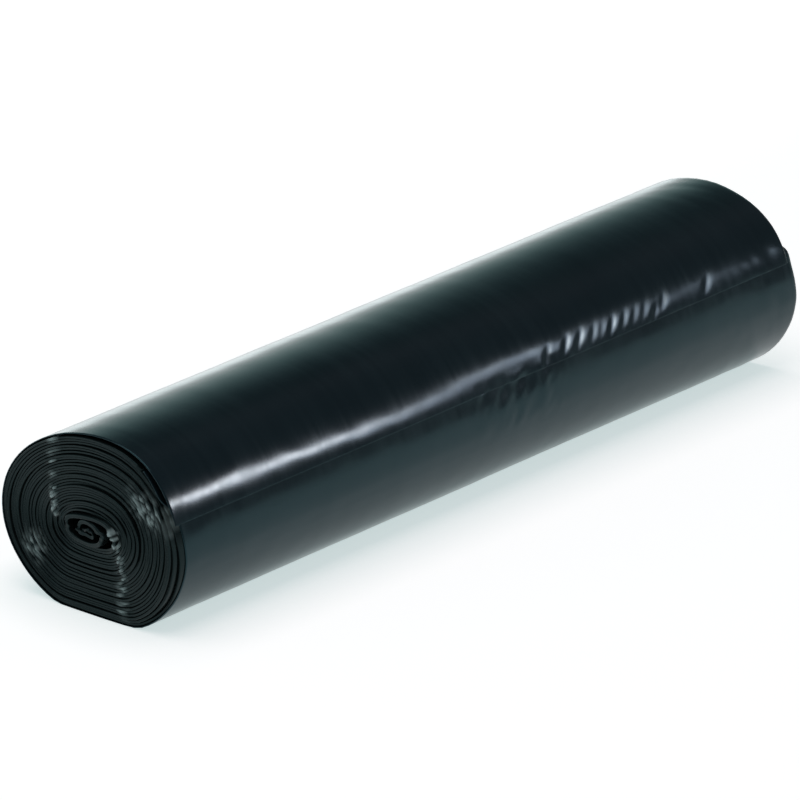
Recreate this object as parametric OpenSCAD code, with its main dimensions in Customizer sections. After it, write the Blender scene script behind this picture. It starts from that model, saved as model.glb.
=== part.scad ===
// A coreless roll of bin bags: one folded strip of film, wound on itself, lying on its flattened side.
// X runs along the roll, Z is up, and the front, where the strip ends, is towards -Y.

/* [Roll] */
// Width of the folded strip of bags, which gives the roll its length
strip_width = 350; // [250:10:450]
// Width of the roll from front to back
roll_width = 86; // [76:2:110]
// Height of the roll as it rests
roll_height = 70; // [64:1:90]
// How far the roll's own weight presses its underside flat
sag = 3.8; // [2:0.2:6]
// How far the roll leans to its front, for each unit of height
lean = 0.02; // [0:0.02:0.16]
// How far the roll's top and underside bow to its front
bow = 4.2; // [0:0.2:6]

/* [Eye] */
// Width of the squashed hole in the middle
eye_width = 26; // [20:1:32]
// Height of the squashed hole in the middle
eye_height = 13; // [9:1:16]

/* [Turns] */
// Number of turns that stand apart at the roll's ends
turns = 11.6; // [8.6:0.5:13.6]
// Gap between two turns beside the eye
inner_gap = 0.9; // [0.5:0.1:1.2]
// Gap between two turns under the outer skin
outer_gap = 0.4; // [0.3:0.05:0.6]
// How far the folded edge of a turn is rounded over
fold_round = 0.8; // [0.3:0.1:1.2]
// How far the turns stand past each other at the roll's ends
edge_stagger = 0.9; // [0:0.1:1.5]
// How far the last turn but one was wound out to the right
skew = 5.5; // [0:0.5:9]

/* [Strip ends] */
// Height of the strip's free edge on the front, in degrees above the middle
free_edge_angle = 22; // [0:1:60]
// Thickness of the strip at its free edge
free_edge_thickness = 0.8; // [0.4:0.1:1.2]
// Angle over which the last turn thins out to its free edge
free_edge_taper = 90; // [40:5:120]
// Thickness of the strip at its tail in the eye
tail_thickness = 0.6; // [0.4:0.1:1.2]
// Angle that the tail runs on inside the eye
tail_angle = 130; // [60:10:150]
// Share of the eye that the tip of the tail reaches
tail_reach = 0.5; // [0.4:0.05:0.8]

/* [Hidden] */

// Steps around one turn
steps_per_turn = 48;
// Share of the strip's thickness that each rounded shoulder takes
shoulder_share = 0.3;
// Turns over which the skewed turn comes out under the free edge, and over which it goes back in
skew_lead = 0.08;
skew_spread = 0.22;
// Angle by which the stagger advances on each turn
stagger_advance = 137;

// Angles run from the back of the roll over its top to its front, and grow as the strip winds on
end_angle = 180 - free_edge_angle;
start_angle = end_angle - 360 * turns;
tail_tip_angle = start_angle - tail_angle;
sections = ceil((end_angle - tail_tip_angle) / 360 * steps_per_turn);
// Turns wound where the roll is widest, at its front and at its back
front_turns = turns_at(-180);
back_turns = turns_at(0);
strip_thickness = (roll_width - eye_width - gaps_at(front_turns) - gaps_at(back_turns))
    / (front_turns + back_turns + 2);
// The turns lie looser above and below the eye than beside it, by this factor
wall = (roll_width - eye_width) / 2;
top_wall = winding(turns_at(90)) + thickness_at(turns_at(90));
bottom_wall = winding(turns_at(-90)) + strip_thickness;
looseness = (roll_height + sag - eye_height) / (top_wall + bottom_wall);
// Depth of the flat below the eye's middle, and how much deeper the sagged turns would reach without it
flat_depth = eye_height / 2 + looseness * bottom_wall - sag;
level_cut = 0.3;

// Value that goes smoothly from 0 to 1 as t goes from 0 to 1
function ease(t) = let (u = min(max(t, 0), 1)) u * u * (3 - 2 * u);

// Number of turns wound before an angle, which is negative on the tail
function turns_at(angle) = (angle - start_angle) / 360;

// Gaps between the turns, added up from the eye outwards
function gaps_at(n) = n * inner_gap + (outer_gap - inner_gap) * n * n / (2 * turns);

// Distance from the eye's outline out to the inner side of the strip
function winding(n) = n <= 0 ? 0 : n * strip_thickness + gaps_at(n);

// Thickness of the strip, which thins out at its tail and at its free edge
function thickness_at(n) = let (tail_turns = tail_angle / 360) n < 0.5
    ? tail_thickness + (strip_thickness - tail_thickness) * ease((n + tail_turns) / (0.5 + tail_turns))
    : free_edge_thickness
        + (strip_thickness - free_edge_thickness) * ease((turns - n) * 360 / free_edge_taper);

// Share of the eye that the strip goes round: 1 on its outline, and less where the tail curls in
function eye_share(n) = n >= 0 ? 1 : 1 - (1 - tail_reach) * -n * 360 / tail_angle;

// How far along the roll the strip lies, turn by turn
function shift_at(n) = let (past = n - turns + 1, spread = past < 0 ? skew_lead : skew_spread)
    skew * exp(-pow(past / spread, 4)) + edge_stagger * sin(stagger_advance * n);

// Point of the eye's outline, an ellipse, whose normal has this angle, moved out along that normal
// by the thickness of the turns around it
function offset_ellipse(angle, share, out) = let (
    a = eye_width / 2,
    b = eye_height / 2,
    q = sqrt(pow(a * cos(angle), 2) + pow(b * sin(angle), 2)),
    loose_out = out * (1 + (looseness - 1) * pow(sin(angle), 2))
) [
    (share * a * a / q + loose_out) * cos(angle),
    (share * b * b / q + loose_out) * sin(angle)
];

// Squeeze of the underside, which turns its outermost curve into a flat with rounded corners
function squeeze(angle) = let (
    depth = -offset_ellipse(angle, 1, wall)[1],
    round_depth = flat_depth + level_cut - sag / 2,
    over = min(max(depth - round_depth, 0), sag)
) depth <= round_depth ? 1 : (round_depth + over - over * over / (2 * sag)) / depth;

// Point of the strip's side at an angle and a depth into its thickness, from 0 inside to 1 outside
function side_point(angle, depth) = let (
    n = turns_at(angle),
    p = offset_ellipse(angle, eye_share(n), winding(n) + depth * thickness_at(n)),
    z = max(p[1] * squeeze(angle), -flat_depth)
) [p[0] - lean * z - bow * pow(2 * z / roll_height, 2), z];

// One section across the strip: out at one folded edge, along the strip, and back at the other
function section(angle) = let (
    n = turns_at(angle),
    shift = shift_at(n),
    round = fold_round * thickness_at(n) / strip_thickness,
    half = strip_width / 2,
    profile = [
        [-half + round, 0], [-half, shoulder_share], [-half, 1 - shoulder_share], [-half + round, 1],
        [half - round, 1], [half, 1 - shoulder_share], [half, shoulder_share], [half - round, 0]
    ]
) [for (c = profile) let (p = side_point(angle, c[1])) [c[0] + shift, p[0], p[1]]];

strip_points = [for (i = [0:sections])
    each section(tail_tip_angle + (end_angle - tail_tip_angle) * i / sections)];
low = [for (k = [0:2]) min([for (p = strip_points) p[k]])];
high = [for (k = [0:2]) max([for (p = strip_points) p[k]])];

// Skin of a tube of rings of points, closed at both ends
module skin(points, ring) {
    rings = len(points) / ring;
    sides = [for (i = [0:rings - 2], k = [0:ring - 1]) let (
        a = i * ring + k,
        b = i * ring + (k + 1) % ring
    ) each [[a, b + ring, a + ring], [a, b, b + ring]]];
    first = [for (k = [ring - 1:-1:0]) k];
    last = [for (k = [0:ring - 1]) (rings - 1) * ring + k];
    polyhedron(points, concat(sides, [first, last]));
}

// The whole strip, wound from its tail in the eye out to its free edge on the front
module bag_roll() {
    color("#14181b")
        translate([-(low[0] + high[0]) / 2, -(low[1] + high[1]) / 2, -low[2]])
            skin(strip_points, 8);
}

bag_roll();
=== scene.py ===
import math

import bpy
from mathutils import Matrix, Vector, noise


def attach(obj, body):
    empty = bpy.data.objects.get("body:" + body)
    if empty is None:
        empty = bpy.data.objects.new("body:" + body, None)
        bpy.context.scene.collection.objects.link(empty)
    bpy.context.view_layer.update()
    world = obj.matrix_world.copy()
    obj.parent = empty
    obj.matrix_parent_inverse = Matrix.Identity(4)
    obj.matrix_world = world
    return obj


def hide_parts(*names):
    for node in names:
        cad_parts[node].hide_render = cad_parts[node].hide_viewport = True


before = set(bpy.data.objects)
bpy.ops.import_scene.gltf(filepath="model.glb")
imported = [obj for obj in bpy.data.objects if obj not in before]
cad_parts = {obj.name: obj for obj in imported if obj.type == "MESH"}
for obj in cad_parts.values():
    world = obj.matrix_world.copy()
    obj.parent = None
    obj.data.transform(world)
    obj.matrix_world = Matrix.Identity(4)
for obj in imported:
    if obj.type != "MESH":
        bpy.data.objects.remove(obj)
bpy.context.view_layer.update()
mm = 0.001

# The shape of the roll, in millimetres and degrees
# The last numbers of each noise vector only pick another part of the noise

roll = {
    "stripWidth": 350,
    "rollWidth": 86,
    "rollHeight": 70,
    "sag": 3.8,  # how far its weight presses the underside flat
    "lean": 0.02,  # lean to the front, for each unit of height
    "bow": 4.2,  # how far the top and underside bow to the front
    "eyeWidth": 26,
    "eyeHeight": 13,
    "skew": 5.5,  # how far the last turn but one was wound out to the right
    "skewLead": 0.04,  # turns
    "skewSpread": 0.22,  # turns
    "freeEdgeAngle": 22.5,
    "stripMiddle": -2.7,  # middle of the strip along the roll
    "tuck": 1.6,  # depth of the turns under the free edge
    "tuckFrom": -8,
    "tuckBack": 60,
    "tuckTurns": 5,
    "extraWall": 1.07,  # film above and below the eye, beyond two side walls
}

winding = {
    "turns": 27.6,
    "filmThickness": 1.05,
    "outerStart": -0.82,  # the outermost turn over the mean spiral, at its start
    "outerGrowth": 2.63,
    "outerDrop": 1.1,
    "outerDropFrom": 0.75,
    "outerLead": 13,  # turns from the end, where the spiral starts to take its shape
    "stepsPerTurn": 84,
    "edgeWander": 0.45,  # slow unevenness of the edges
    "edgeFlutter": 1.0,  # quick unevenness of the edges
    "waviness": 0.16,  # unevenness across the film
    "crumple": 0.55,
    "crumpleTurns": 6,
    "cutBack": 1.6,  # how far edges near the eye stand back
    "endsBefore": 1.115,  # turns before the end, where the outermost film takes over
    "rimBack": 3.2,  # the stepped rim under the outermost film
    "rimTurns": 2.6,
    "rimBefore": 1.1,
    "rimSpan": (-75, 52, 30, 22),
    "rimTight": 0.4,
    "kink": 0.8,  # how far creased places stand out
    "tailAngle": 1000,  # the tail, bunched up in the eye
    "tailBunch": 0.8,
    "tailReach": 0.08,
    "tailOut": 2.2,
    "tailRough": 1.5,
}

halfStrip = roll["stripWidth"] / 2
turns = winding["turns"]
endAngle = 180 - roll["freeEdgeAngle"]
sideWall = (roll["rollWidth"] - roll["eyeWidth"]) / 2
looseness = (roll["rollHeight"] + roll["sag"] - roll["eyeHeight"]) / (2 * sideWall + roll["extraWall"])
flatDepth = roll["eyeHeight"] / 2 + looseness * sideWall - roll["sag"]
levelCut = 0.3  # how much deeper the sagged turns would reach without the flat spot


def ease(t):
    t = min(max(t, 0), 1)
    return t * t * (3 - 2 * t)


def bell(t):
    return math.exp(-t * t)


def within(t, span):
    # a span holds its start, its end, and the lengths over which it rises and falls
    start, end, rise, fall = span
    return ease((t - start) / rise) * ease((end - t) / fall)


def angleAt(n):
    # from the back (0) over the top (90) to the front (180), growing with the turns
    return math.radians(endAngle - 360 * (turns - n))


def frontAngle(n):
    # degrees above the middle of the front side, from -180 to 180
    return (180 - math.degrees(angleAt(n)) + 180) % 360 - 180


def outerBulge(p):
    # the outermost turn over the mean spiral, p running from 0 to 1 along it
    late = ease((p - winding["outerDropFrom"]) / (1 - winding["outerDropFrom"]))
    return winding["outerStart"] + winding["outerGrowth"] * p - winding["outerDrop"] * late


def depthAt(n):
    # distance from the eye to the strip's outer side
    thin = winding["filmThickness"]
    pitch = (sideWall - thin) / turns
    spiral = thin + pitch * max(n, 0)
    if n >= turns - 1:
        p = n - turns + 1
        return sideWall + outerBulge(p)
    p = n - math.floor(n - turns) - turns
    jump = outerBulge(1) - outerBulge(0) - pitch
    change = outerBulge(p) - jump * p + pitch * (1 - p)
    return spiral + change * ease((n - turns + winding["outerLead"]) / (winding["outerLead"] - 1))


def tuckAt(n):
    # the turns under the free edge lie deeper there
    if n >= turns - 0.5:
        return 0
    theta = frontAngle(n)
    edge = roll["freeEdgeAngle"]
    rise = ease((theta - roll["tuckFrom"]) / (edge - roll["tuckFrom"]))
    back = ease((edge + roll["tuckBack"] - theta) / roll["tuckBack"])
    under = max(turns - 1 - n, 0)
    return roll["tuck"] * rise * back * ease(1 - under / roll["tuckTurns"])


def offsetEllipse(angle, share, out):
    a = roll["eyeWidth"] / 2
    b = roll["eyeHeight"] / 2
    c, s = math.cos(angle), math.sin(angle)
    q = math.hypot(a * c, b * s)
    loose = out * (1 + (looseness - 1) * s * s)
    return (share * a * a / q + loose) * c, (share * b * b / q + loose) * s


def squeeze(angle):
    # presses the underside towards the flat spot
    depth = -offsetEllipse(angle, 1, sideWall)[1]
    roundDepth = flatDepth + levelCut - roll["sag"] / 2
    if depth <= roundDepth:
        return 1
    over = min(depth - roundDepth, roll["sag"])
    return (roundDepth + over - over * over / (2 * roll["sag"])) / depth


def sectionPoint(n, inward):
    angle = angleAt(n)
    share = 1
    if n < 0:
        share = 1 - (1 - winding["tailReach"]) * ease(-n * 360 / winding["tailAngle"])
    y, z = offsetEllipse(angle, share, depthAt(n) - tuckAt(n) - inward)
    z = max(z * squeeze(angle), -flatDepth)
    return y - roll["lean"] * z - roll["bow"] * (2 * z / roll["rollHeight"]) ** 2, z + flatDepth


outline = [sectionPoint(turns - i / 180, 0) for i in range(180)]
rollMiddle = (min(y for y, z in outline) + max(y for y, z in outline)) / 2


def place(x, n, inward):
    y, z = sectionPoint(n, inward)
    return Vector((x + roll["stripMiddle"], y - rollMiddle, max(z, 0))) * mm


def skewAt(n):
    # one turn was wound askew before the last one covered it
    p = n - turns + 1
    return roll["skew"] * bell((p / (roll["skewSpread"] if p > 0 else roll["skewLead"])) ** 2)


def meshObject(name, points, faces, mapped, flatFrom=None):
    mesh = bpy.data.meshes.new(name)
    mesh.from_pydata(points, [], faces)
    layer = mesh.uv_layers.new(name="film")
    for loop in mesh.loops:
        layer.data[loop.index].uv = mapped[loop.vertex_index]
    mesh.update()
    obj = bpy.data.objects.new(name, mesh)
    bpy.context.scene.collection.objects.link(obj)
    smooth = len(mesh.polygons) if flatFrom is None else flatFrom
    mesh.polygons.foreach_set("use_smooth", [k < smooth for k in range(len(mesh.polygons))])
    return obj


# The wound film under the outermost turn

# Folded edge: the distance in from the strip's end and the share of the thickness
foldedEdge = [(0.42, 0), (0.16, 0.12), (0, 0.3), (0.32, 0.52), (0.06, 0.74), (0.2, 0.9), (0.42, 1)]


def edgeShift(n, side):
    # how far along the roll the strip's edge lies, after n turns
    wander = 2 * winding["edgeWander"] * noise.noise(Vector((n * 0.9, side * 4.3, 9.3)))
    flutter = noise.noise(Vector((n * 2.3, side * 7.1, 3.3)))
    flutter += 0.35 * noise.noise(Vector((n * 9.1, side * 2.7, 6.1)))
    tail = winding["tailOut"] * ease(-3 * n)
    return wander + winding["edgeFlutter"] * flutter + side * tail + skewAt(n)


def rimStep(n):
    # the turns under the outermost one stand back on the front, as steps
    theta = frontAngle(n)
    late = ease((n - turns + winding["rimBefore"] + winding["rimTurns"]) / winding["rimTurns"])
    return winding["rimBack"] * within(theta, winding["rimSpan"]) * late


# The creased places on the roll's ends, which stand out and are painted lighter as glints of the lamps
# and the white sweep: two columns and two patches, in millimetres
creaseGlintPlaces = {
    "upperAt": 17.3,
    "upperWidth": 1.3,
    "upperSpan": (33, 68, 5, 5),
    "lowerAt": -16.6,
    "lowerWidth": 1.5,
    "lowerSpan": (1, 39, 2, 4),
    "rightDepth": 1.3,
    "rightAt": (-30, 48),
    "rightSize": (7, 4.4),
    "rightSlant": 0.35,
    "leftDepth": 1.1,
    "leftAt": (27, 19.5),
    "leftSize": (4, 4.5),
    "evenness": 0.4,
    "patchiness": 2.6,
}


def creaseGlintAt(y, z, n):
    # where the turns' edges are creased, as they bend round the flattened middle; the same mask pushes
    # the edges out and paints glints into their colour
    at = creaseGlintPlaces
    upper = bell((y - at["upperAt"] + 0.1 * max(42 - z, 0)) / at["upperWidth"])
    upper *= within(z, at["upperSpan"])
    lower = bell((y - at["lowerAt"] - 0.25 * max(z - 20, 0)) / at["lowerWidth"])
    lower *= within(z, at["lowerSpan"])
    out = y - at["rightAt"][0]
    right = at["rightDepth"] * bell(out / at["rightSize"][0])
    right *= bell((z - at["rightAt"][1] - at["rightSlant"] * out) / at["rightSize"][1])
    left = at["leftDepth"] * bell((y - at["leftAt"][0]) / at["leftSize"][0])
    left *= bell((z - at["leftAt"][1]) / at["leftSize"][1])
    patches = at["patchiness"] * noise.noise(Vector((n * 3.3, y / 2, z / 1.7)))
    uneven = max(0, at["evenness"] + patches)
    return min(1, (upper + lower + right + left) * uneven)


def windFilm():
    points, faces, mapped = [], [], []
    thin = winding["filmThickness"]
    eyeRadius = 6
    first = -winding["tailAngle"] / 360
    last = turns - winding["endsBefore"]
    count = int((last - first) * winding["stepsPerTurn"])
    ring = 2 * len(foldedEdge)
    arc = 0
    creaseGlints = []
    for i in range(count + 1):
        n = first + (last - first) * i / count
        near = ease(1 - n / winding["crumpleTurns"])
        rough = winding["crumple"] * near * noise.noise(Vector((n * 7.7, 1.1, 5.2)))
        rough += winding["waviness"] * noise.noise(Vector((n * 5.3, 3.7, 8.1)))
        rough *= 1 + winding["tailRough"] * ease(-3 * n)
        y, z = sectionPoint(n, 0)
        creaseGlint = creaseGlintAt(y - rollMiddle, z, n)
        # the tail is bunched up in the eye
        bunch = thin * (1 + winding["tailBunch"] * ease(-2 * n) * ease((n - first) / 0.8))
        arc += 2 * math.pi * (eyeRadius + depthAt(n)) / winding["stepsPerTurn"]
        back = rimStep(n) - winding["kink"] * creaseGlint
        tight = winding["rimTight"] * ease((n - turns + 7) / 6)
        for side in (-1, 1):
            shift = edgeShift(n, side)
            cut = winding["cutBack"] * near * noise.noise(Vector((n * 2.6, side * 3.1, 8.8)))
            edge = foldedEdge if side < 0 else foldedEdge[::-1]
            for inset, share in edge:
                x = side * (halfStrip - inset - abs(cut) - back) + shift
                points.append(place(x, n, share * bunch - rough - tight))
                mapped.append((x * mm, arc * mm))
                creaseGlints.append(creaseGlint)
        if i == 0:
            continue
        base = (i - 1) * ring
        for k in range(ring):
            m = (k + 1) % ring
            faces.append((base + m, base + ring + m, base + ring + k, base + k))
    faces.append(tuple(range(ring - 1, -1, -1)))
    faces.append(tuple(range(count * ring, count * ring + ring)))
    film = meshObject("wound_film", points, faces, mapped)
    # the crease mask goes to the material, where it paints glints into the edges' colour
    film.data.attributes.new("creaseGlint", "FLOAT", "POINT").data.foreach_set("value", creaseGlints)
    return film


print("wound film")
woundFilm = windFilm()

# The outermost turn, a loose film of its own thickness

outerFilm = {
    "startBack": 1.112,
    "turnLength": 250,  # of the outermost turn
    "thickness": 0.5,
    "lipThickness": 0.12,  # at the free edge
    "lipReach": 8,
    "fineColumn": 0.8,  # the mesh is finer where the ripples are
    "coarseColumn": 1.7,
    "fineFrom": 26,
    "fineTo": 134,
    "fineLow": -16,
    "fineHigh": 66,
    "fineRow": 1.0,
    "coarseRow": 3.4,
    "edgeWander": 0.5,
    "edgeRound": 0.25,
    "flapLift": 0.08,  # the free edge stands off the turn under it
    "flapReach": 0.07,  # turns
    "toothDepth": 0.1,  # the torn perforation
    "toothWidth": 1.7,
    "rippleDepth": 0.24,
    "rippleWidth": 2.0,
    "rippleAngle": 31.5,
    "rippleReach": 6,
    "rippleSlant": 0.42,
    "dentSpan": (-30, 34, 50, 12),  # along the roll
    "dentAngle": 20,
    "dentDepth": 0.25,
    "crumple": 0.2,
    "crumpleAlong": (-14, 46, 12, 14),
    "crumpleRound": (-14, 31, 12, 6),
    "bulge": 0.45,  # of the flap
    "bulgeAt": -70,
    "bulgeLength": 50,
    "bulgeAngle": 22,
    "topBulge": 0.85,
    "topBulgeAngle": 75,
    "topChanges": [(-70, 150, -2.1), (130, 50, 0.6)],  # place, length and change of the fullness
    "swell": 0.17,  # soft unevenness all over
    "endCrumple": 0.14,  # creases in the loose ends
    "looseRight": 132,
    "looseLeft": -150,
}

# The ripples: place along the roll, share of the full depth, and height in degrees
ripples = [(34, 0.9, 29), (45, 1, 31), (53, 1.1, 31), (61, 0.8, 31), (66, 0.55, 32),
           (72, 1, 31), (79, 0.8, 32), (85, 0.6, 32), (91, 0.6, 33), (98, 0.85, 28),
           (102, 0.95, 33), (128, 0.9, 32)]


def swellHeight(x, n, theta):
    # the film swells softly, and is looser and more creased towards its folded edges
    swell = noise.noise(Vector((x / 46, n * 9, 2.2)))
    swell += 0.35 * noise.noise(Vector((x / 11, n * 30, 7.2)))
    loose = ease((x - outerFilm["looseRight"]) / 34) + 0.4 * ease((outerFilm["looseLeft"] - x) / 20)
    creased = loose * noise.noise(Vector((x / 5.5 + theta / 20, n * 21, 4.6)))
    return outerFilm["swell"] * swell + outerFilm["endCrumple"] * creased


def topHeight(x, theta):
    # the top is fuller on the left and flatter on the right
    side = 1
    for start, length, change in outerFilm["topChanges"]:
        side += change * ease((x - start) / length)
    return outerFilm["topBulge"] * side * bell((theta - outerFilm["topBulgeAngle"]) / 20)


def dentHeight(x, theta):
    # a dent that ends steeply on the right, crumpled in soft upright folds
    dent = within(x, outerFilm["dentSpan"]) * bell((theta - outerFilm["dentAngle"]) / 14)
    crumple = within(x, outerFilm["crumpleAlong"]) * within(theta, outerFilm["crumpleRound"])
    crumple *= noise.noise(Vector(((x - 0.28 * theta) / 3.6, theta / 12, 2.4)))
    return outerFilm["crumple"] * crumple - outerFilm["dentDepth"] * dent


def flapHeight(x, n, theta):
    # the flap at the free edge lifts unevenly, and stands out along a stretch of it
    reach = (n - turns + outerFilm["flapReach"]) / outerFilm["flapReach"]
    uneven = 0.75 + 0.5 * noise.noise(Vector((x / 17, 4.4, 0)))
    bulge = bell((x - outerFilm["bulgeAt"]) / outerFilm["bulgeLength"])
    bulge *= bell((theta - outerFilm["bulgeAngle"]) / 15)
    h = outerFilm["flapLift"] * ease(reach) * uneven + outerFilm["bulge"] * bulge
    # short slanted ripples over the free edge, no two alike
    along = x - outerFilm["rippleSlant"] * (theta - outerFilm["rippleAngle"])
    for at, depth, high in ripples:
        bar = bell((along - at) / outerFilm["rippleWidth"])
        bar *= bell((theta - high) / outerFilm["rippleReach"])
        h -= outerFilm["rippleDepth"] * depth * bar
    return h


def surfaceHeight(x, n):
    # how far the outermost film stands out from its even shape
    theta = frontAngle(n)
    h = swellHeight(x, n, theta) + topHeight(x, theta)
    if theta < 60:
        h += dentHeight(x, theta)
    if n > turns - 0.5:
        h += flapHeight(x, n, theta)
    return h


def skinRows():
    rows = [turns - outerFilm["startBack"]]
    while rows[-1] < turns:
        theta = frontAngle(rows[-1])
        fine = outerFilm["fineLow"] < theta < outerFilm["fineHigh"]
        step = outerFilm["fineRow"] if fine else outerFilm["coarseRow"]
        rows.append(rows[-1] + step / outerFilm["turnLength"])
    # three rows close together round the free edge over
    edgeRows = (0.0015, 0.0004, 0)
    return [n for n in rows if n < turns - 2 * edgeRows[0]] + [turns - back for back in edgeRows]


def skinColumns():
    # columns from -1 to 1 along the roll, closer together where the ripples are
    places = [-halfStrip]
    while places[-1] < halfStrip:
        fine = outerFilm["fineFrom"] < places[-1] < outerFilm["fineTo"]
        places.append(places[-1] + (outerFilm["fineColumn"] if fine else outerFilm["coarseColumn"]))
    places[-1] = halfStrip
    if len(places) % 2 == 0:
        places.insert(1, (places[0] + places[1]) / 2)
    return [x / halfStrip for x in places]


def wrapOuterFilm():
    points, faces, mapped = [], [], []
    thick = outerFilm["thickness"]
    lip = outerFilm["lipThickness"]
    columns = skinColumns()
    cols = len(columns) - 1
    rows = skinRows()
    for n in rows:
        arc = (n - turns) * outerFilm["turnLength"]
        thin = lip + (thick - lip) * ease(-arc / outerFilm["lipReach"])
        if n == turns:
            thin *= 0.2  # rounds the free edge over
        skews = {}
        for side in (-1, 1):
            skews[side] = skewAt(n)
            skews[side] += outerFilm["edgeWander"] * noise.noise(Vector((n * 2.7, side * 5.1, 1.7)))
        ringPoints = [(t, 0) for t in columns] + [(1, 0.2), (1, 0.5), (1, 0.8)]
        ringPoints += [(t, 1) for t in columns[::-2]] + [(-1, 0.8), (-1, 0.5), (-1, 0.2)]
        for t, share in ringPoints:
            shift = skews[1] * (1 + t) / 2 + skews[-1] * (1 - t) / 2
            rounding = 0
            if abs(t) == 1:
                rounding = outerFilm["edgeRound"] * (1 - math.sqrt(max(0, 1 - (2 * share - 1) ** 2)))
            x = t * (halfStrip - rounding) + shift
            h = surfaceHeight(x, n)
            advance = 0
            if n > turns - 0.001:
                # the perforated edge, in small uneven teeth
                tooth = outerFilm["toothDepth"] * (0.5 + noise.noise(Vector((x * 2.1, 9.1, 0))))
                toothSide = 1 if int(x / outerFilm["toothWidth"]) % 2 else -1
                advance = tooth / outerFilm["turnLength"] * toothSide
            points.append(place(x, n + advance, share * thin - h))
            mapped.append((x * mm, arc * mm))
    ring = len(ringPoints)
    for i in range(1, len(rows)):
        base = (i - 1) * ring
        for k in range(ring):
            m = (k + 1) % ring
            faces.append((base + k, base + ring + k, base + ring + m, base + m))
    # both ends of the sheet are closed column by column
    inner = cols + 4
    for row, flip in ((0, False), (len(rows) - 1, True)):
        base = row * ring
        ends = [(base + cols + 1, base + cols + 2, base + cols + 3, base + inner, base + cols),
                (base + inner + cols // 2, base + ring - 3, base + ring - 2, base + ring - 1, base)]
        for k in range(0, cols, 2):
            a = inner + (cols - k) // 2
            ends.append((base + k, base + k + 1, base + k + 2, base + a - 1, base + a))
        for face in ends:
            faces.append(face if not flip else face[::-1])
    return meshObject("outer_film", points, faces, mapped, (len(rows) - 1) * ring)


print("outer film")
outerTurn = wrapOuterFilm()

print("pieces on the frame")
for piece in (woundFilm, outerTurn):
    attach(piece, "root")
    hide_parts("bag_roll")

# Film material


def nodeGroup(name, inputs, outputs):
    group = bpy.data.node_groups.new(name, "ShaderNodeTree")
    for label, kind, value in inputs:
        socket = group.interface.new_socket(label, in_out="INPUT", socket_type=kind)
        socket.default_value = value
    for label, kind in outputs:
        group.interface.new_socket(label, in_out="OUTPUT", socket_type=kind)
    return group


class Tree:
    def __init__(self, tree):
        self.tree = tree

    def add(self, kind, x, y, **values):
        node = self.tree.nodes.new(kind)
        node.location = (x, y)
        for name, value in values.items():
            setattr(node, name, value)
        return node

    def join(self, start, end):
        self.tree.links.new(start, end)


# Scales of the drawing lines, the haze and the grain, and the part of the haze that shows
texture = {
    "lineScale": (420, 9, 9),
    "hazeScale": 34,
    "grainScale": 260,
    "hazeFrom": 0.12,
    "hazeTo": 0.42,
}


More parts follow.
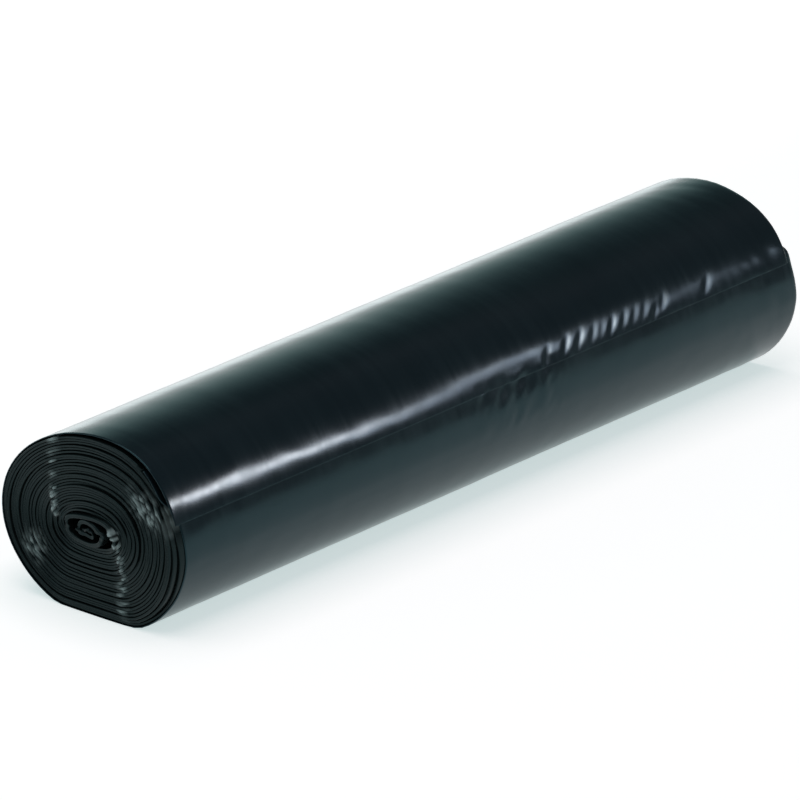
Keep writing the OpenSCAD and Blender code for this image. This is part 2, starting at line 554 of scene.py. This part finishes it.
def filmGrainAndGlints():
    # colour, roughness and height of blown film, from the place on the roll, with painted glints where
    # the ends are creased
    group = nodeGroup("filmGrainAndGlints", [
        ("Deep Color", "NodeSocketColor", (0.007, 0.010, 0.012, 1)),
        ("Hazy Color", "NodeSocketColor", (0.013, 0.018, 0.020, 1)),
        ("Painted Glint Color", "NodeSocketColor", (0.21, 0.27, 0.27, 1)),
        ("Roughness", "NodeSocketFloat", 0.18),
        ("Roughness Spread", "NodeSocketFloat", 0.06),
        ("Streaks", "NodeSocketFloat", 0.5),
        ("Grain", "NodeSocketFloat", 0.5),
    ], [("Color", "NodeSocketColor"), ("Roughness", "NodeSocketFloat"), ("Height", "NodeSocketFloat")])
    t = Tree(group)
    given = t.add("NodeGroupInput", -1100, 0)
    put = t.add("NodeGroupOutput", 700, 0)
    spot = t.add("ShaderNodeTexCoord", -1100, -300)
    along = t.add("ShaderNodeMapping", -900, -300)
    along.inputs["Scale"].default_value = texture["lineScale"]
    t.join(spot.outputs["Object"], along.inputs["Vector"])
    lines = t.add("ShaderNodeTexNoise", -700, -300)
    lines.inputs["Scale"].default_value = 1
    lines.inputs["Detail"].default_value = 4
    t.join(along.outputs["Vector"], lines.inputs["Vector"])
    cloud = t.add("ShaderNodeTexNoise", -700, 0)
    cloud.inputs["Scale"].default_value = texture["hazeScale"]
    cloud.inputs["Detail"].default_value = 5
    t.join(spot.outputs["Object"], cloud.inputs["Vector"])
    peel = t.add("ShaderNodeTexNoise", -700, -600)
    peel.inputs["Scale"].default_value = texture["grainScale"]
    peel.inputs["Detail"].default_value = 2
    t.join(spot.outputs["Object"], peel.inputs["Vector"])
    haze = t.add("ShaderNodeMath", -480, 0, operation="MULTIPLY")
    t.join(cloud.outputs["Fac"], haze.inputs[0])
    t.join(lines.outputs["Fac"], haze.inputs[1])
    spread = t.add("ShaderNodeMapRange", -300, 0)
    spread.inputs["From Min"].default_value = texture["hazeFrom"]
    spread.inputs["From Max"].default_value = texture["hazeTo"]
    t.join(haze.outputs[0], spread.inputs["Value"])
    color = t.add("ShaderNodeMix", 0, 200, data_type="RGBA")
    t.join(spread.outputs["Result"], color.inputs[0])
    t.join(given.outputs["Deep Color"], color.inputs[6])
    t.join(given.outputs["Hazy Color"], color.inputs[7])
    # the creased places on the ends are painted lighter: painted glints of the lamps and the white
    # sweep
    creaseGlint = t.add("ShaderNodeAttribute", -300, 500, attribute_name="creaseGlint")
    creased = t.add("ShaderNodeMix", 250, 300, data_type="RGBA")
    t.join(creaseGlint.outputs["Fac"], creased.inputs[0])
    t.join(color.outputs[2], creased.inputs[6])
    t.join(given.outputs["Painted Glint Color"], creased.inputs[7])
    t.join(creased.outputs[2], put.inputs["Color"])
    rough = t.add("ShaderNodeMath", 0, -100, operation="MULTIPLY_ADD")
    t.join(spread.outputs["Result"], rough.inputs[0])
    t.join(given.outputs["Roughness Spread"], rough.inputs[1])
    t.join(given.outputs["Roughness"], rough.inputs[2])
    t.join(rough.outputs[0], put.inputs["Roughness"])
    streak = t.add("ShaderNodeMath", -300, -350, operation="MULTIPLY")
    t.join(lines.outputs["Fac"], streak.inputs[0])
    t.join(given.outputs["Streaks"], streak.inputs[1])
    both = t.add("ShaderNodeMath", 0, -350, operation="MULTIPLY_ADD")
    t.join(peel.outputs["Fac"], both.inputs[0])
    t.join(given.outputs["Grain"], both.inputs[1])
    t.join(streak.outputs[0], both.inputs[2])
    t.join(both.outputs[0], put.inputs["Height"])
    return group


def filmMaterial(name, grainAndGlints, look):
    material = bpy.data.materials.new(name)
    material.use_nodes = True
    t = Tree(material.node_tree)
    shader = material.node_tree.nodes["Principled BSDF"]
    shader.inputs["IOR"].default_value = look["ior"]
    shader.inputs["Specular Tint"].default_value = look["specularTint"]
    node = t.add("ShaderNodeGroup", -500, 0, node_tree=grainAndGlints)
    for label, value in look["grainAndGlints"].items():
        node.inputs[label].default_value = value
    t.join(node.outputs["Color"], shader.inputs["Base Color"])
    t.join(node.outputs["Roughness"], shader.inputs["Roughness"])
    bump = t.add("ShaderNodeBump", -250, -300)
    bump.inputs["Strength"].default_value = look["bump"]
    bump.inputs["Distance"].default_value = look["bumpDepth"]
    t.join(node.outputs["Height"], bump.inputs["Height"])
    t.join(bump.outputs["Normal"], shader.inputs["Normal"])
    return material


print("materials")
grainAndGlints = filmGrainAndGlints()
outerLook = {
    "ior": 1.42,
    "specularTint": (0.36, 0.87, 1, 1),
    "bump": 0.5,
    "bumpDepth": 0.00002,
    "grainAndGlints": {"Deep Color": (0.0035, 0.0065, 0.0085, 1), "Hazy Color": (0.006, 0.0105, 0.013, 1),
              "Roughness": 0.16, "Roughness Spread": 0.06, "Streaks": 0.5, "Grain": 0.5},
}
# the film's ends, black film made darker still and with weaker gloss: painted shade of the gaps
# between the thin film layers
edgeLook = {
    "ior": 1.3,
    "specularTint": (0.5, 0.9, 0.95, 1),
    "bump": 0.8,
    "bumpDepth": 0.00005,
    "grainAndGlints": {"Deep Color": (0.0018, 0.003, 0.003, 1), "Hazy Color": (0.005, 0.0075, 0.0075, 1),
              "Roughness": 0.2, "Roughness Spread": 0.15, "Streaks": 0.5, "Grain": 0.6},
}
outerTurn.data.materials.append(filmMaterial("glossyFilm", grainAndGlints, outerLook))
woundFilm.data.materials.append(filmMaterial("filmEdges", grainAndGlints, edgeLook))

# Camera at the photograph's angle

view = {
    "azimuth": -49.232,
    "elevation": 22.077,
    "distance": 3.713,
    "lens": 445.4,
    "aimRight": -0.00351,
    "aimUp": 0.02789,
}


def placeCamera():
    a, e = math.radians(view["azimuth"]), math.radians(view["elevation"])
    back = Vector((math.sin(a) * math.cos(e), -math.cos(a) * math.cos(e), math.sin(e)))
    right = Vector((math.cos(a), math.sin(a), 0))
    up = back.cross(right)
    aim = right * view["aimRight"] + up * view["aimUp"]
    data = bpy.data.cameras.new("camera")
    data.lens = view["lens"]
    data.sensor_width = 36
    data.clip_end = 50
    camera = bpy.data.objects.new("camera", data)
    camera.location = back * view["distance"]
    camera.rotation_euler = (camera.location - aim).to_track_quat("Z", "Y").to_euler()
    bpy.context.scene.collection.objects.link(camera)
    bpy.context.scene.camera = camera


print("camera")
placeCamera()

# Floor, world and lamps

studio = {
    "floorRadius": 12,
    "floorSides": 96,
    "floorColor": (0.84, 0.67, 0.665, 1),
    "floorGlow": 0.64,  # slightly cool, so that the roll's shade is
    "glowColor": (0.86, 1, 1, 1),
    "floorGlowBehind": 1.7,
    "glowFrom": 0.1,
    "glowTo": 0.45,
    "floorEdge": 0.04,  # height of the direction in which the floor ends
    "edgeBlur": 0.02,
    "sweepTo": 0.36,
    "darkSide": (0.17, 0.17, 0.19, 1),  # the room in front of the roll
    "topLamp": 34,
    "topAt": (-0.3, 0.1, 2.6),
    "topSize": (2.4, 2.4),
    "keyLamp": 3.15,
    "keyAt": (0.655, -0.816, 0.445),
    "keySize": (0.18, 0.105),
    "stripLamp": 1.3,
    "stripAt": (0.79, -0.826, 0.399),
    "stripSize": (0.34, 0.15),
    "lampRow": (0.93, -0.13, -0.30),  # direction of the long sides of the two gloss lamps
    "lampAim": (-0.02, -0.038, 0.05),
    "keyColor": (1, 0.58, 0.55),
    "stripColor": (1, 0.72, 0.82),
}

# Colours of the white sweep behind the roll, by the height of the direction
sweepPeak = 1.4
sweep = [(-0.2, (1.4, 1.4, 1.4, 1)), (0.02, (1.1, 1.15, 1.15, 1)), (0.10, (0.75, 0.88, 0.87, 1)),
         (0.16, (0.56, 0.74, 0.73, 1)), (0.25, (0.34, 0.52, 0.51, 1)), (0.34, (0.22, 0.35, 0.35, 1)),
         (0.5, (0.09, 0.15, 0.16, 1)), (0.62, (0.07, 0.10, 0.11, 1))]


def layFloor():
    count, radius = studio["floorSides"], studio["floorRadius"]
    points = [(0, 0, 0)]
    for i in range(count):
        a = i * math.tau / count
        points.append((radius * math.cos(a), radius * math.sin(a), 0))
    faces = [(0, i + 1, (i + 1) % count + 1) for i in range(count)]
    mesh = bpy.data.meshes.new("floor")
    mesh.from_pydata(points, [], faces)
    floor = bpy.data.objects.new("floor", mesh)
    bpy.context.scene.collection.objects.link(floor)
    material = bpy.data.materials.new("paleFloor")
    material.use_nodes = True
    shader = material.node_tree.nodes["Principled BSDF"]
    shader.inputs["Base Color"].default_value = studio["floorColor"]
    shader.inputs["Roughness"].default_value = 1
    shader.inputs["Specular IOR Level"].default_value = 0
    shader.inputs["Emission Color"].default_value = studio["glowColor"]
    # the floor is brighter behind the roll, as it rises into the white sweep
    t = Tree(material.node_tree)
    spot = t.add("ShaderNodeTexCoord", -800, -300)
    axes = t.add("ShaderNodeSeparateXYZ", -600, -300)
    t.join(spot.outputs["Object"], axes.inputs[0])
    glow = t.add("ShaderNodeMapRange", -400, -300, interpolation_type="SMOOTHSTEP")
    glow.inputs["From Min"].default_value = studio["glowFrom"]
    glow.inputs["From Max"].default_value = studio["glowTo"]
    glow.inputs["To Min"].default_value = studio["floorGlow"]
    glow.inputs["To Max"].default_value = studio["floorGlowBehind"]
    t.join(axes.outputs["Y"], glow.inputs["Value"])
    t.join(glow.outputs["Result"], shader.inputs["Emission Strength"])
    mesh.materials.append(material)


def lightWorld():
    world = bpy.data.worlds.new("studio")
    bpy.context.scene.world = world
    world.use_nodes = True
    t = Tree(world.node_tree)
    shade = world.node_tree.nodes["Background"]
    spot = t.add("ShaderNodeTexCoord", -1300, 0)
    axes = t.add("ShaderNodeSeparateXYZ", -1100, 0)
    t.join(spot.outputs["Generated"], axes.inputs[0])
    # the dark room, white only up to the floor's far edge
    low = t.add("ShaderNodeMapRange", -800, 200, interpolation_type="SMOOTHSTEP")
    low.inputs["From Min"].default_value = studio["floorEdge"] - studio["edgeBlur"]
    low.inputs["From Max"].default_value = studio["floorEdge"] + studio["edgeBlur"]
    t.join(axes.outputs["Z"], low.inputs["Value"])
    room = t.add("ShaderNodeMix", -550, 200, data_type="RGBA")
    room.inputs[6].default_value = (1, 1, 1, 1)
    room.inputs[7].default_value = studio["darkSide"]
    t.join(low.outputs["Result"], room.inputs[0])
    # the sweep, which fades as it rises
    rise = t.add("ShaderNodeMapRange", -1000, -300)
    rise.inputs["From Min"].default_value = sweep[0][0]
    rise.inputs["From Max"].default_value = sweep[-1][0]
    t.join(axes.outputs["Z"], rise.inputs["Value"])
    fade = t.add("ShaderNodeValToRGB", -800, -300)
    ramp = fade.color_ramp
    span = sweep[-1][0] - sweep[0][0]
    for k, (height, color) in enumerate(sweep):
        share = (height - sweep[0][0]) / span
        if 0 < k < len(sweep) - 1:
            stop = ramp.elements.new(share)
        else:
            stop = ramp.elements[0 if k == 0 else -1]
        stop.position = share
        stop.color = [value / sweepPeak for value in color[:3]] + [1]
    t.join(rise.outputs["Result"], fade.inputs[0])
    bright = t.add("ShaderNodeVectorMath", -500, -300, operation="SCALE")
    bright.inputs["Scale"].default_value = sweepPeak
    t.join(fade.outputs["Color"], bright.inputs[0])
    behind = t.add("ShaderNodeMapRange", -800, -50, interpolation_type="SMOOTHSTEP")
    behind.inputs["From Min"].default_value = 0
    behind.inputs["From Max"].default_value = studio["sweepTo"]
    t.join(axes.outputs["Y"], behind.inputs["Value"])
    color = t.add("ShaderNodeMix", -250, 0, data_type="RGBA")
    t.join(behind.outputs["Result"], color.inputs[0])
    t.join(room.outputs[2], color.inputs[6])
    t.join(bright.outputs[0], color.inputs[7])
    t.join(color.outputs[2], shade.inputs["Color"])
    shade.inputs["Strength"].default_value = 1


def addLamp(name, spot, aim, row, size, power, color, gloss=False):
    # the lamp's long side runs along row, and a gloss lamp shows in glossy surfaces only
    data = bpy.data.lights.new(name, "AREA")
    data.shape = "RECTANGLE"
    data.size, data.size_y = size
    data.energy = power
    data.color = color
    lamp = bpy.data.objects.new(name, data)
    along = Vector(row).normalized()
    behind = Vector(spot) - Vector(aim)
    behind = (behind - along * behind.dot(along)).normalized()
    side = behind.cross(along)
    turn = Matrix((along, side, behind)).transposed()
    lamp.matrix_world = Matrix.Translation(spot) @ turn.to_4x4()
    lamp.visible_camera = False
    lamp.visible_diffuse = not gloss
    bpy.context.scene.collection.objects.link(lamp)


print("studio")
layFloor()
lightWorld()
addLamp("topLamp", studio["topAt"], (0, 0, 0), (1, 0, 0), studio["topSize"],
        studio["topLamp"], (1, 1, 1))
addLamp("keyLamp", studio["keyAt"], studio["lampAim"], studio["lampRow"], studio["keySize"],
        studio["keyLamp"], studio["keyColor"], gloss=True)
addLamp("stripLamp", studio["stripAt"], studio["lampAim"], studio["lampRow"], studio["stripSize"],
        studio["stripLamp"], studio["stripColor"], gloss=True)

bpy.context.scene.view_settings.view_transform = "Standard"
